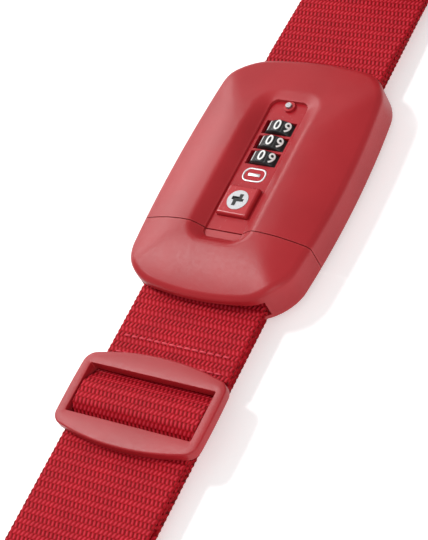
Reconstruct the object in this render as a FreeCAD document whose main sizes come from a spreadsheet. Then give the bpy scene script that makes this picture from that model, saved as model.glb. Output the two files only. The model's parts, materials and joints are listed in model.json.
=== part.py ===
"""Luggage strap: a webbing belt with a combination-lock buckle and a slider.

The belt is laid flat.  +X runs along the belt from the slider towards the far end of the
lock, +Y runs across it and +Z is up.  The origin is the centre of the underside of the
whole part.  The belt's unseen length runs back under the buckle and is rolled up at +X.
All sizes are in millimetres and are kept in the sheet named sizes.
"""
import FreeCAD, Part
import math
import os

import Sketcher

os.makedirs("parts", exist_ok=True)
doc = FreeCAD.newDocument("luggage_strap")
sheet = doc.addObject("Spreadsheet::Sheet", "sizes")
Vector = FreeCAD.Vector

SIZES = {
    # belt
    "beltWidth": 50.0, "beltThick": 1.7, "layerPitch": 1.8, "returnShift": 2.7,
    "beltTop": 9.1, "turnEnd": -157.5, "rollRadius": 25.0, "rollCentre": 132.5,
    "runSplit": 12.0, "splitGap": 0.4,
    # buckle outline and heights
    "buckleFloor": 3.6, "floorThick": 1.0, "wallThick": 1.4, "fitGap": 0.15,
    "seamAt": -17.5, "plugCorner": -38.1, "farCorner": 54.4, "cornerHalf": 30.4,
    "endArc": 110.0, "sideArc": 330.0, "cornerRadius": 11.0, "buckleHalf": 33.3,
    "plugEnd": -42.5, "farEnd": 58.5, "plugEndTop": 12.6, "farEndTop": 11.2,
    "crestLow": 17.7, "crestHigh": 18.1, "shoulderHigh": 12.8, "crestHalf": 12.0,
    "slotHigh": 9.45, "slotLow": 4.9, "slotHalf": 25.7,
    # recess and face plate
    "recessFar": 40.9, "recessHalf": 9.6, "frameFar": 42.6, "frameHalf": 11.4,
    "plateTop": 15.2, "plateStep": 14.0, "plateLow": 13.0, "recessNear": -23.5,
    # number wheels
    "wheelAt": 13.98, "wheelStep": 6.76, "wheelRadius": 6.3, "wheelWide": 5.4,
    "wheelHigh": 10.9, "wheelBore": 3.6, "wheelGap": 0.2, "windowHalf": 6.15,
    "spindleRadius": 1.2, "runClear": 0.05, "sleeveWide": 5.0,
    # release button, key cylinder and reset pin
    "buttonAt": -5.3, "buttonLong": 12.0, "buttonWide": 12.2, "buttonTop": 17.0,
    "buttonEdge": 0.7, "flangeLow": 12.55, "flangeThick": 0.4, "keyRadius": 4.0,
    "resetAt": 36.8, "resetRadius": 1.1, "resetTop": 16.9,
    # catch and tongue
    "catchAt": -1.0, "catchHigh": 10.3, "tongueTip": 9.4, "tongueHalf": 6.8,
    "tongueLow": 6.2, "tongueThick": 2.0,
    # strap bars
    "lockBar": 47.0, "plugBar": -32.2, "barHigh": 8.2, "barRadius": 1.6, "barHalf": 27.8,
    # slider
    "sliderNear": -71.9, "sliderFar": -98.4, "sliderHalf": 28.6, "sliderArc": 100.0,
    "sliderSideArc": 260.0, "sliderLow": 9.3, "sliderThick": 3.7, "sliderCorner": 3.0,
    "sliderEdge": 1.0, "windowNear": -75.3, "windowFar": -94.2, "windowWide": 25.3,
    "middleBar": -85.5, "middleWide": 5.4, "middleLow": 7.4, "middleThick": 2.0,
    # stitching
    "stitchFirst": -60.7, "stitchSecond": -67.3, "stitchLong": 2.2, "stitchStep": 3.1,
}
for row, (name, number) in enumerate(SIZES.items(), start=1):
    sheet.set("A%d" % row, name)
    sheet.set("B%d" % row, str(number))
    sheet.setAlias("B%d" % row, name)
doc.recompute()


def size(expression):
    """The number that an expression over the sheet stands for."""
    result = sheet.evalExpression(str(expression))
    return float(getattr(result, "Value", result))


def bind(thing, path, expression):
    thing.setExpression(path, str(expression))


def place(thing, x="0", y="0", z="0"):
    """Tie the thing's position to expressions over the sheet."""
    for axis, expression in zip("xyz", (x, y, z)):
        bind(thing, "Placement.Base." + axis, expression)


# ---------------------------------------------------------------- plain building blocks
def box(label, low, high):
    """A block between two corners, each given as three expressions."""
    block = doc.addObject("Part::Box", label)
    for side, a, b in zip(("Length", "Width", "Height"), low, high):
        bind(block, side, "(%s) - (%s)" % (b, a))
    place(block, *low)
    return block


TURNS = {
    "X": FreeCAD.Rotation(Vector(0, 1, 0), 90),
    "Y": FreeCAD.Rotation(Vector(1, 0, 0), -90),
    "Z": FreeCAD.Rotation(),
}


def rod(label, axis, start, radius, length):
    """A round rod that starts at a point and runs along +X, +Y or +Z."""
    bar = doc.addObject("Part::Cylinder", label)
    bar.Placement = FreeCAD.Placement(Vector(), TURNS[axis])
    bind(bar, "Radius", radius)
    bind(bar, "Height", length)
    place(bar, *start)
    return bar


def cut(label, base, tool):
    result = doc.addObject("Part::Cut", label)
    result.Base, result.Tool = base, tool
    return result


def fuse(label, pieces):
    result = doc.addObject("Part::MultiFuse", label)
    result.Shapes = pieces
    return result


def common(label, pieces):
    result = doc.addObject("Part::MultiCommon", label)
    result.Shapes = pieces
    return result


def drawn(body, plane, corners):
    """A closed sketch: each corner is (x, y, radius of the arc to the next corner or None)."""
    sketch = body.newObject("Sketcher::SketchObject", body.Name + "_outline")
    origin_plane = [f for f in body.Origin.OriginFeatures if f.Role == plane][0]
    sketch.AttachmentSupport = [(origin_plane, "")]
    sketch.MapMode = "FlatFace"
    points = [Vector(size(x), size(y), 0) for x, y, radius in corners]
    edges = []
    for i, (x, y, radius) in enumerate(corners):
        start, end = points[i], points[(i + 1) % len(points)]
        if radius is None:
            edges.append(sketch.addGeometry(Part.LineSegment(start, end)))
            continue
        half = (end - start) * 0.5
        reach = math.sqrt(size(radius) ** 2 - half.Length ** 2)
        inward = Vector(-half.y, half.x, 0).normalize()
        centre = start + half + inward * reach
        angles = [math.atan2(p.y - centre.y, p.x - centre.x) for p in (start, end)]
        circle = Part.Circle(centre, Vector(0, 0, 1), size(radius))
        edges.append(sketch.addGeometry(Part.ArcOfCircle(circle, *angles)))
    for i, edge in enumerate(edges):
        following = edges[(i + 1) % len(edges)]
        sketch.addConstraint(Sketcher.Constraint("Coincident", edge, 2, following, 1))
    for i, (x, y, radius) in enumerate(corners):
        for kind, expression in (("DistanceX", x), ("DistanceY", y)):
            rule = Sketcher.Constraint(kind, -1, 1, edges[i], 1, size(expression))
            bind(sketch, "Constraints[%d]" % sketch.addConstraint(rule), expression)
        if radius is not None:
            rule = Sketcher.Constraint("Radius", edges[i], size(radius))
            bind(sketch, "Constraints[%d]" % sketch.addConstraint(rule), radius)
    return sketch


def slab(label, plane, corners, thickness, middle=False, at=("0", "0", "0")):
    """A body padded from a drawn outline, upwards or evenly to both sides of its plane."""
    body = doc.addObject("PartDesign::Body", label)
    pad = body.newObject("PartDesign::Pad", label + "_pad")
    pad.Profile = drawn(body, plane, corners)
    bind(pad, "Length", thickness)
    if middle:
        pad.Midplane = True
    body.Tip = pad
    place(body, *at)
    doc.recompute()
    return body


def rectangle(low_x, low_y, high_x, high_y):
    corners = [(low_x, low_y), (high_x, low_y), (high_x, high_y), (low_x, high_y)]
    return [(x, y, None) for x, y in corners]


def pocket(body, plane, corners, label):
    """Cut a drawn outline right through the body, to both sides of the sketch plane."""
    before = body.Shape.Volume
    feature = body.newObject("PartDesign::Pocket", label)
    feature.Profile = drawn(body, plane, corners)
    feature.Type = "ThroughAll"
    feature.Midplane = True
    body.Tip = feature
    doc.recompute()
    if not body.Shape.Volume < before:
        raise ValueError("%s removes nothing: %s" % (label, feature.State))
    return feature


def round_edges(body, radius, wanted, label):
    """Round the edges of the body that the test picks."""
    base = body.Tip
    names = ["Edge%d" % n for n, edge in enumerate(base.Shape.Edges, 1) if wanted(edge)]
    feature = body.newObject("PartDesign::Fillet", label)
    feature.Base = (base, names)
    bind(feature, "Radius", radius)
    body.Tip = feature
    doc.recompute()
    if "Invalid" in feature.State:
        raise ValueError("%s failed on %d edges" % (label, len(names)))
    return feature


def upright(edge):
    ends = [vertex.Point for vertex in edge.Vertexes]
    return len(ends) == 2 and (ends[0] - ends[1]).cross(Vector(0, 0, 1)).Length < 1e-6


# ---------------------------------------------------------------- belt ribbons
def rounded_route(points, radii):
    """Lines and tangent arcs along points, as (kind, start, end, centre, turn) pieces."""
    pieces = []
    here = points[0]
    for before, corner, after, radius in zip(points, points[1:], points[2:], radii):
        coming = (corner - before).normalize()
        going = (after - corner).normalize()
        turn = math.atan2(coming.cross(going).y, coming.dot(going))
        reach = radius * math.tan(abs(turn) / 2)
        arc_start = corner - coming * reach
        arc_end = corner + going * reach
        side = Vector(0, 1, 0).cross(coming) * (1 if turn > 0 else -1)
        pieces.append(("line", here, arc_start, None, 0))
        pieces.append(("arc", arc_start, arc_end, arc_start + side * radius, turn))
        here = arc_end
    pieces.append(("line", here, points[-1], None, 0))
    return pieces


def ribbon(label, points, radii, shift="0"):
    """A strip of belt whose middle line follows (x, z) points with rounded corners."""
    half = size("sizes.beltThick") / 2
    points = [Vector(x, 0, z) for x, z in points]
    sides = []
    for sign in (1, -1):
        edges = []
        for kind, start, end, centre, turn in rounded_route(points, radii):
            if kind == "line":
                normal = (end - start).normalize().cross(Vector(0, 1, 0)) * (half * sign)
                edges.append(Part.LineSegment(start + normal, end + normal).toShape())
                continue
            rays = [(p - centre).normalize() for p in (start, end)]
            outward = 1 if rays[0].dot((end - start).cross(Vector(0, 1, 0))) > 0 else -1
            radius = (start - centre).Length + half * sign * outward
            middle = (rays[0] + rays[1]).normalize()
            on_arc = [centre + ray * radius for ray in (rays[0], middle, rays[1])]
            edges.append(Part.Arc(*on_arc).toShape())
        sides.append(edges)
    caps = []
    for pick in (0, -1):
        ends = [edges[pick].Vertexes[pick].Point for edges in sides]
        caps.append(Part.LineSegment(ends[0], ends[1]).toShape())
    outline = Part.Wire(Part.__sortEdges__(sides[0] + sides[1] + caps))
    width = size("sizes.beltWidth")
    strip = doc.addObject("Part::Feature", label)
    strip.Shape = Part.Face(outline).extrude(Vector(0, width, 0))
    strip.Placement = FreeCAD.Placement(Vector(0, size(shift) - width / 2, 0),
                                        FreeCAD.Rotation())
    return strip


def strip_run(label, low_x, high_x, low_z, layers=1, shift="0"):
    """A straight stretch of belt, one or two layers thick."""
    thick = "sizes.beltThick + %d * sizes.layerPitch" % (layers - 1)
    low = (low_x, "%s - sizes.beltWidth / 2" % shift, low_z)
    high = (high_x, "%s + sizes.beltWidth / 2" % shift, "(%s) + %s" % (low_z, thick))
    return box(label, low, high)


def belt_pieces():
    thick, pitch = size("sizes.beltThick"), size("sizes.layerPitch")
    upper = size("sizes.beltTop") - thick / 2
    lower = upper - pitch
    lowest = lower - pitch
    bar_z = size("sizes.barHigh")
    wrap = size("sizes.barRadius") + thick / 2 + 0.1
    pieces = []

    # the end sewn round the plug's bar; its two layers end under the slider's near bar
    bar_x = size("sizes.plugBar")
    end_x, mouth = -69.5, -38.6
    pieces.append(ribbon(
        "belt_end_fold",
        [(end_x, upper), (mouth, upper), (bar_x - wrap, bar_z + wrap), (bar_x + wrap, bar_z + wrap),
         (bar_x + wrap, bar_z - wrap), (bar_x - wrap, bar_z - wrap), (mouth, lower), (end_x, lower)],
        [4, 3, wrap - 0.15, wrap - 0.15, 3, 4]))

    # the belt threaded over the slider's middle bar
    over = size("sizes.middleLow + sizes.middleThick") + 0.1 + pitch + thick / 2
    middle = size("sizes.middleBar")
    tail_x = -102.4
    pieces.append(ribbon(
        "belt_through_slider",
        [(end_x - 0.3, lower), (-72.0, lower + 0.3), (-76.0, upper - 0.05), (middle + 3.2, over),
         (middle - 4.4, over), (-93.6, upper), (tail_x, upper)],
        [3, 3, 2, 1.2, 1.2]))

    # the other end, sewn round the slider's middle bar under the threaded layer
    round_bar = 0.13 + thick / 2
    low_side = size("sizes.middleLow") - round_bar
    top_side = size("sizes.middleLow + sizes.middleThick") + round_bar
    reach = size("sizes.middleWide") / 2 + round_bar
    pieces.append(ribbon(
        "belt_sewn_end",
        [(tail_x, lowest), (middle - 5.5, lowest), (middle - 1.5, low_side), (middle + reach, low_side),
         (middle + reach, top_side), (middle - reach, top_side), (middle - reach - 3.0, lower),
         (-123.0, lower)],
        [3, 3, 1.2, 1.2, 1.3, 1.5]))

    # the two layers between the slider and the turn
    turn_x = size("sizes.turnEnd") + size("sizes.beltTop") / 2
    pieces.append(strip_run("belt_upper_run", "sizes.turnEnd + sizes.beltTop / 2",
                            "%g" % (tail_x - 0.3), "sizes.beltTop - sizes.beltThick"))
    pieces.append(ribbon(
        "belt_lower_run",
        [(tail_x - 0.3, lowest), (-143.0, lowest), (-149.5, lower), (turn_x, lower)], [6, 6]))

    # the turn, where both layers go round and back
    turn_z = size("sizes.beltTop") / 2
    for label, outer in (("belt_turn_outer", turn_z), ("belt_turn_inner", turn_z - pitch)):
        ring = doc.addObject("Part::Feature", label)
        start, middle_ray = Vector(turn_x - 0.1, 0, turn_z), Vector(-1, 0, 0)
        rims = []
        for radius in (outer, outer - thick):
            points = [start + Vector(0, 0, radius), start + middle_ray * radius,
                      start - Vector(0, 0, radius)]
            rims.append(Part.Arc(*points).toShape())
        caps = [Part.LineSegment(rims[0].Vertexes[n].Point, rims[1].Vertexes[n].Point).toShape()
                for n in (0, 1)]
        face = Part.Face(Part.Wire(Part.__sortEdges__(rims + caps)))
        ring.Shape = face.extrude(Vector(0, size("sizes.beltWidth"), 0))
        middle_y = size("sizes.returnShift / 2 - sizes.beltWidth / 2")
        ring.Placement = FreeCAD.Placement(Vector(0, middle_y, 0), FreeCAD.Rotation())
        pieces.append(ring)

    # the double run back on the table, in two lengths that part when the plug comes out
    pieces.append(strip_run("belt_return_near", "sizes.turnEnd + sizes.beltTop / 2",
                            "sizes.runSplit - sizes.splitGap", "0", 2, "sizes.returnShift"))
    roll_side = "sizes.rollCentre - 13.0"
    pieces.append(strip_run("belt_return_far", "sizes.runSplit", roll_side, "0", 2,
                            "sizes.returnShift"))

    # the belt wrapped round the lock's bar, and both its layers as far as the roll
    bar_x = size("sizes.lockBar")
    mouth, settle, roll_x = 54.4, 66.0, size("sizes.rollCentre") - 18.4
    stack = size("2 * sizes.layerPitch + sizes.beltThick / 2") + 0.1
    pieces.append(ribbon(
        "belt_lock_loop",
        [(roll_x, stack + pitch), (102.0, stack + pitch), (settle, upper), (mouth, upper),
         (bar_x + wrap, bar_z + wrap), (bar_x - wrap, bar_z + wrap), (bar_x - wrap, bar_z - wrap),
         (bar_x + wrap, bar_z - wrap), (mouth, lower), (settle, lower), (102.0, stack), (roll_x, stack)],
        [20, 20, 4, 3, wrap - 0.15, wrap - 0.15, 3, 4, 20, 20]))

    # the roll
    pieces.append(rod("belt_roll", "Y",
                      ("sizes.rollCentre", "(sizes.returnShift - sizes.beltWidth) / 2",
                       "sizes.rollRadius"), "sizes.rollRadius", "sizes.beltWidth"))
    return pieces


def stitching():
    """Two rows of thread on top of the sewn fold."""
    threads = []
    top = size("sizes.beltTop") + 0.02
    length, step = size("sizes.stitchLong"), size("sizes.stitchStep")
    for x in (size("sizes.stitchFirst"), size("sizes.stitchSecond")):
        for n in range(-7, 7):
            corner = Vector(x - 0.3, (n + 0.5) * step - length / 2, top)
            threads.append(Part.makeBox(0.6, length, 0.25, corner))
    rows = doc.addObject("Part::Feature", "fold_stitching")
    rows.Shape = Part.makeCompound(threads)
    return [rows]


# ---------------------------------------------------------------- buckle shells
def plan(label, inset, low, thickness):
    """The buckle seen from above: a barrel with rounded corners, drawn in by the inset."""
    near, far = "sizes.plugCorner + %s" % inset, "sizes.farCorner - %s" % inset
    half = "sizes.cornerHalf - %s" % inset
    end, side = "sizes.endArc - %s" % inset, "sizes.sideArc - %s" % inset
    corners = [(near, "-(%s)" % half, side), (far, "-(%s)" % half, end), (far, half, side),
               (near, half, end)]
    body = slab(label, "XY_Plane", corners, thickness, at=("0", "0", low))
    round_edges(body, "sizes.cornerRadius - %s" % inset, upright, label + "_corners")
    return body


def buckle_form(label, inset, low):
    """The closed outer form of the buckle, or the space inside it for an inset above 0."""
    drop = inset
    outline = plan(label + "_plan", inset, low, "20")
    side = slab(
        label + "_side", "XZ_Plane",
        [("sizes.plugEnd - 1", low, None), ("sizes.farEnd + 1", low, None),
         ("sizes.farEnd + 1", "sizes.farEndTop - %s" % drop, "150 - %s" % drop),
         ("15", "sizes.crestHigh - %s" % drop, "700"),
         ("-16", "sizes.crestLow - %s" % drop, "70 - %s" % drop),
         ("sizes.plugEnd - 1", "sizes.plugEndTop - %s" % drop, None)],
        "80", middle=True)
    across = slab(
        label + "_across", "YZ_Plane",
        [("-sizes.buckleHalf - 1", low, None), ("sizes.buckleHalf + 1", low, None),
         ("sizes.buckleHalf + 1", "sizes.shoulderHigh - %s" % drop, "60 - %s" % drop),
         ("sizes.crestHalf", "sizes.crestHigh - 0.2 - %s" % drop, "500"),
         ("-sizes.crestHalf", "sizes.crestHigh - 0.2 - %s" % drop, "60 - %s" % drop),
         ("-sizes.buckleHalf - 1", "sizes.shoulderHigh - %s" % drop, None)],
        "240", middle=True)
    return common(label, [outline, side, across])


def half_space(label, lock_side, low="0"):
    """A block on one side of the seam between lock and plug."""
    if lock_side:
        return box(label, ("sizes.seamAt + sizes.fitGap", "-40", low), ("70", "40", "30"))
    return box(label, ("-60", "-40", low), ("sizes.seamAt - sizes.fitGap", "40", "30"))


def shells():
    outer = buckle_form("buckle_outside", "0", "sizes.buckleFloor")
    inner = buckle_form("buckle_inside", "sizes.wallThick", "-2")
    frame = box("recess_frame", ("sizes.seamAt - 1", "-sizes.frameHalf", "sizes.plateStep + 0.1"),
                ("sizes.frameFar", "sizes.frameHalf", "25"))
    end_frame = box("plug_recess_frame", ("sizes.recessNear - 1.5", "-sizes.frameHalf", "sizes.plateLow"),
                    ("sizes.seamAt + 1", "sizes.frameHalf", "25"))
    lock_block = common("lock_block", [outer, half_space("lock_side", True)])
    lock_space = cut("lock_space", inner, frame)
    lock_hollow = cut("lock_hollow", lock_block, lock_space)
    lock_openings = fuse("lock_openings", [
        box("recess_opening", ("sizes.seamAt - 1", "-sizes.recessHalf", "5"),
            ("sizes.recessFar", "sizes.recessHalf", "25")),
        box("lock_slot", ("50", "-sizes.slotHalf", "sizes.slotLow"),
            ("70", "sizes.slotHalf", "sizes.slotHigh")),
        box("lock_slot_throat", ("43", "-sizes.slotHalf", "4.65"), ("54.6", "sizes.slotHalf", "12.1"))])
    lock_shell = cut("lock_top_shell", lock_hollow, lock_openings)

    plug_block = common("plug_block", [outer, half_space("plug_side", False)])
    plug_space = cut("plug_space", inner, end_frame)
    plug_hollow = cut("plug_hollow", plug_block, plug_space)
    plug_openings = fuse("plug_openings", [
        box("recess_end", ("sizes.recessNear", "-sizes.recessHalf + 0.6", "sizes.plateTop"),
            ("sizes.seamAt + 2", "sizes.recessHalf - 0.6", "25")),
        box("plug_slot", ("-60", "-sizes.slotHalf", "sizes.slotLow"),
            ("-36", "sizes.slotHalf", "sizes.slotHigh + 1.5")),
        box("plug_slot_throat", ("-38.8", "-sizes.slotHalf", "4.65"), ("-29", "sizes.slotHalf", "12.1"))])
    return [lock_shell, cut("plug_top_shell", plug_hollow, plug_openings)]


SCREWS = {"lock": (("-11.5", "23.0"), ("37.0", "24.5")), "plug": (("-24.5", "24.0"),)}


def screw_places(part):
    return [(x, sign + y) for x, y in SCREWS[part] for sign in ("", "-")]


def screws(part):
    """Countersunk screws that hold the floor to the shell, all in one node."""
    pieces = []
    for n, (x, y) in enumerate(screw_places(part)):
        name = "%s_screw_%d" % (part, n)
        head = rod(name + "_head", "Z", (x, y, "sizes.buckleFloor + 0.1"), "1.7", "0.8")
        shank = rod(name + "_shank", "Z", (x, y, "sizes.buckleFloor + 0.5"), "0.8", "6.5")
        driver = box(name + "_driver", (x + " - 0.9", y + " - 0.25", "sizes.buckleFloor"),
                     (x + " + 0.9", y + " + 0.25", "sizes.buckleFloor + 0.45"))
        pieces.append(cut(name, fuse(name + "_body", [head, shank]), driver))
    group = doc.addObject("Part::Compound", part + "_screws")
    group.Links = pieces
    return group


def floor_plate(part, lock_side, extras, holes):
    """The floor of the lock or the plug with its posts, less the holes in it."""
    sheet_body = plan(part + "_floor_plan", "(sizes.wallThick + sizes.fitGap)",
                      "sizes.buckleFloor", "sizes.floorThick")
    plate = common(part + "_floor", [sheet_body, half_space(part + "_floor_side", lock_side)])
    pieces = [plate] + extras
    cuts = list(holes)
    floor_top = "sizes.buckleFloor + sizes.floorThick - 0.1"
    for n, (x, y) in enumerate(screw_places(part)):
        name = "%s_post_%d" % (part, n)
        pieces.append(rod(name, "Z", (x, y, floor_top), "2.1", "6.4"))
        cuts.append(rod(name + "_bore", "Z", (x, y, "0"), "0.85", "30"))
        cuts.append(rod(name + "_sink", "Z", (x, y, "0"), "1.8", "sizes.buckleFloor + 0.95"))
    body = fuse(part + "_base_body", pieces)
    return cut(part + "_base", body, fuse(part + "_base_holes", cuts))


def bar_ears(part, bar):
    """Two ears that carry a strap bar, and the bore through both."""
    floor_top = "sizes.buckleFloor + sizes.floorThick - 0.1"
    ears = [
        box("%s_ear_%d" % (part, n), (bar + " - 2.3", low, floor_top),
            (bar + " + 2.3", high, "sizes.barHigh + 2.4"))
        for n, (low, high) in enumerate((("-27.8", "-26.0"), ("26.0", "27.8")))]
    bore = rod(part + "_ear_bore", "Y", (bar, "-30", "sizes.barHigh"), "sizes.barRadius + 0.03", "60")
    return ears, bore


def bases():
    floor_top = "sizes.buckleFloor + sizes.floorThick - 0.1"
    lock_ears, lock_bore = bar_ears("lock", "sizes.lockBar")
    plug_ears, plug_bore = bar_ears("plug", "sizes.plugBar")
    inside_half = "sizes.cornerHalf - sizes.wallThick"

    # lock: seam wall with the tongue's mouth, catch posts, spring posts, spindle supports
    seam_wall = box("lock_seam_wall", ("sizes.seamAt + sizes.fitGap", "-(%s)" % inside_half, floor_top),
                    ("sizes.seamAt + 1.6", inside_half, "12.6"))
    mouth = box("tongue_mouth", ("sizes.seamAt - 1", "-sizes.tongueHalf - 0.2", "sizes.tongueLow - 0.2"),
                ("sizes.seamAt + 2", "sizes.tongueHalf + 0.2",
                 "sizes.tongueLow + sizes.tongueThick + 0.2"))
    extras = lock_ears + [seam_wall]
    holes = [lock_bore, mouth]
    for n, sign in enumerate((-1, 1)):
        low, high = sorted((sign * 7.3, sign * 9.3))
        extras.append(box("catch_post_%d" % n, ("sizes.catchAt - 1.6", "%g" % low, floor_top),
                          ("sizes.catchAt + 1.6", "%g" % high, "sizes.catchHigh + 1.6")))
        extras.append(rod("button_post_%d" % n, "Z", ("sizes.buttonAt", "%g" % (sign * 8.3), floor_top),
                          "1.1", "5.1"))
    holes.append(rod("catch_pin_bore", "Y", ("sizes.catchAt", "-12", "sizes.catchHigh"), "0.83", "24"))
    for n, x in enumerate(("9.75", "sizes.wheelAt + 2 * sizes.wheelStep + 3.1")):
        extras.append(box("spindle_support_%d" % n, (x, "-3.4", floor_top),
                          (x + " + 1.2", "3.4", "sizes.wheelHigh + 2.0")))
    holes.append(rod("spindle_bore", "X", ("9", "0", "sizes.wheelHigh"),
                     "sizes.spindleRadius + 0.03", "25"))
    extras.append(rod("reset_post", "Z", ("sizes.resetAt", "0", floor_top), "1.6", "4.1"))
    lock = floor_plate("lock", True, extras, holes)

    # plug: seam wall, tongue seat
    seam_wall = box("plug_seam_wall", ("sizes.seamAt - 1.6", "-(%s)" % inside_half, floor_top),
                    ("sizes.seamAt - sizes.fitGap", inside_half, "12.6"))
    seat = box("tongue_seat", ("-27.6", "-9", floor_top), ("sizes.seamAt - 1", "9", "sizes.tongueLow - 0.05"))
    slit = box("tongue_slit", ("sizes.seamAt - 3", "-sizes.tongueHalf - 0.05", "sizes.tongueLow - 0.05"),
               ("sizes.seamAt + 1", "sizes.tongueHalf + 0.05",
                "sizes.tongueLow + sizes.tongueThick + 0.05"))
    plug = floor_plate("plug", False, plug_ears + [seam_wall, seat], [plug_bore, slit])
    return [lock, plug]


# ---------------------------------------------------------------- lock works
def wheel_x(n):
    return "sizes.wheelAt + %d * sizes.wheelStep" % n


def dial_wheel(n):
    """A number wheel: a disc with ten shallow valleys between its numbers."""
    label = "dial_wheel_%d" % (n + 1)
    body = doc.addObject("PartDesign::Body", label)
    rim = body.newObject("Sketcher::SketchObject", label + "_rim")
    plane = [f for f in body.Origin.OriginFeatures if f.Role == "YZ_Plane"][0]
    rim.AttachmentSupport = [(plane, "")]
    rim.MapMode = "FlatFace"
    for radius in ("sizes.wheelRadius", "sizes.wheelBore"):
        edge = rim.addGeometry(Part.Circle(Vector(), Vector(0, 0, 1), size(radius)))
        rim.addConstraint(Sketcher.Constraint("Coincident", edge, 3, -1, 1))
        rule = rim.addConstraint(Sketcher.Constraint("Radius", edge, size(radius)))
        bind(rim, "Constraints[%d]" % rule, radius)
    pad = body.newObject("PartDesign::Pad", label + "_pad")
    pad.Profile = rim
    pad.Midplane = True
    bind(pad, "Length", "sizes.wheelWide")
    body.Tip = pad
    doc.recompute()
    valley = pocket(body, "YZ_Plane",
                    rectangle("sizes.wheelRadius - 0.25", "-0.35", "sizes.wheelRadius + 1", "0.35"),
                    label + "_valley")
    ring = body.newObject("PartDesign::PolarPattern", label + "_valleys")
    ring.Originals = [valley]
    ring.Axis = ([f for f in body.Origin.OriginFeatures if f.Role == "X_Axis"][0], [""])
    ring.Angle = 360
    ring.Occurrences = 10
    body.Tip = ring
    place(body, wheel_x(n), "0", "sizes.wheelHigh")
    return body


def clutch_sleeve(n):
    """The ring that fits in a number wheel and runs on the spindle."""
    label = "clutch_sleeve_%d" % (n + 1)
    start = (wheel_x(n) + " - sizes.sleeveWide / 2", "0", "sizes.wheelHigh")
    outside = rod(label + "_outside", "X", start, "sizes.wheelBore - sizes.runClear", "sizes.sleeveWide")
    bore = rod(label + "_bore", "X", start, "sizes.spindleRadius + sizes.runClear", "sizes.sleeveWide")
    key = box(label + "_key", (start[0], "-0.6", "sizes.wheelHigh + sizes.wheelBore - 1.0"),
              (wheel_x(n) + " + sizes.sleeveWide / 2", "0.6", "sizes.wheelHigh + sizes.wheelBore + 1"))
    return cut(label, cut(label + "_ring", outside, bore), key)


def spindle():
    start = ("9.8", "0", "sizes.wheelHigh")
    shaft = rod("spindle_shaft", "X", start, "sizes.spindleRadius", "24.6")
    collar = rod("spindle_collar", "X", ("33.8", "0", "sizes.wheelHigh"), "1.9", "0.6")
    return fuse("wheel_spindle", [shaft, collar])


def coil(label, low, high, radius, wire, turns, x, y, axis="Z"):
    """A compression spring between two heights, along +Z or +X."""
    rise = high - low - 2 * wire
    helix = Part.makeHelix(rise / turns, rise, radius)
    ring = Part.Wire([Part.Circle(Vector(radius, 0, 0), Vector(0, 1, 0), wire).toShape()])
    spring = doc.addObject("Part::Feature", label)
    spring.Shape = Part.Wire(helix.Edges).makePipeShell([ring], True, True)
    if axis == "Z":
        spring.Placement = FreeCAD.Placement(Vector(x, y, low + wire), FreeCAD.Rotation())
    else:
        spring.Placement = FreeCAD.Placement(Vector(low + wire, x, y), TURNS["X"])
    return spring


def leaf_spring():
    """The bent strip of spring steel under the plate that pushes the catch down."""
    corners = [("4.8", "10.97", None), ("5.6", "10.97", None), ("8.5", "12.72", None),
               ("9.6", "12.72", None), ("9.6", "12.92", None), ("8.4", "12.92", None),
               ("5.5", "11.17", None), ("4.8", "11.17", None)]
    return slab("catch_spring", "XZ_Plane", corners, "3", middle=True)


def folded_spring():
    """The strip of spring steel, folded in a zigzag, that pushes the reset pin up."""
    corners = [("38.0", "8.65", None), ("35.6", "8.65", None), ("35.6", "8.95", None),
               ("37.6", "10.375", None), ("35.6", "11.8", None), ("35.6", "12.1", None),
               ("38.0", "12.1", None), ("38.0", "11.9", None), ("36.05", "11.9", None),
               ("38.0", "10.5", None), ("38.0", "10.25", None), ("36.05", "8.85", None),
               ("38.0", "8.85", None)]
    return slab("reset_spring", "XZ_Plane", corners, "2", middle=True)


def springs():
    button_x, high = size("sizes.buttonAt"), size("sizes.flangeLow") - 0.05
    pair = [coil("button_spring_%d" % n, 9.65, high, 0.75, 0.15, 4, button_x, y)
            for n, y in enumerate((-8.3, 8.3))]
    group = doc.addObject("Part::Compound", "button_springs")
    group.Links = pair
    return [
        group,
        folded_spring(),
        leaf_spring(),
        coil("spindle_spring", 31.95, 33.7, 1.6, 0.15, 2, 0, size("sizes.wheelHigh"), "X"),
    ]


def detent_spring():
    """A leaf comb beside the wheels, with one finger for each wheel."""
    corners = [("10.6", "4.8"), ("31.6", "4.8"), ("31.6", "6.2")]
    for n in (2, 1, 0):
        corners += [("%s + 1.6" % wheel_x(n), "6.2"), ("%s + 1.6" % wheel_x(n), "12.2"),
                    ("%s - 1.6" % wheel_x(n), "12.2"), ("%s - 1.6" % wheel_x(n), "6.2")]
    corners.append(("10.6", "6.2"))
    return slab("detent_spring", "XZ_Plane", [(x, z, None) for x, z in corners], "0.25",
                middle=True, at=("0", "-6.65", "0"))


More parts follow.
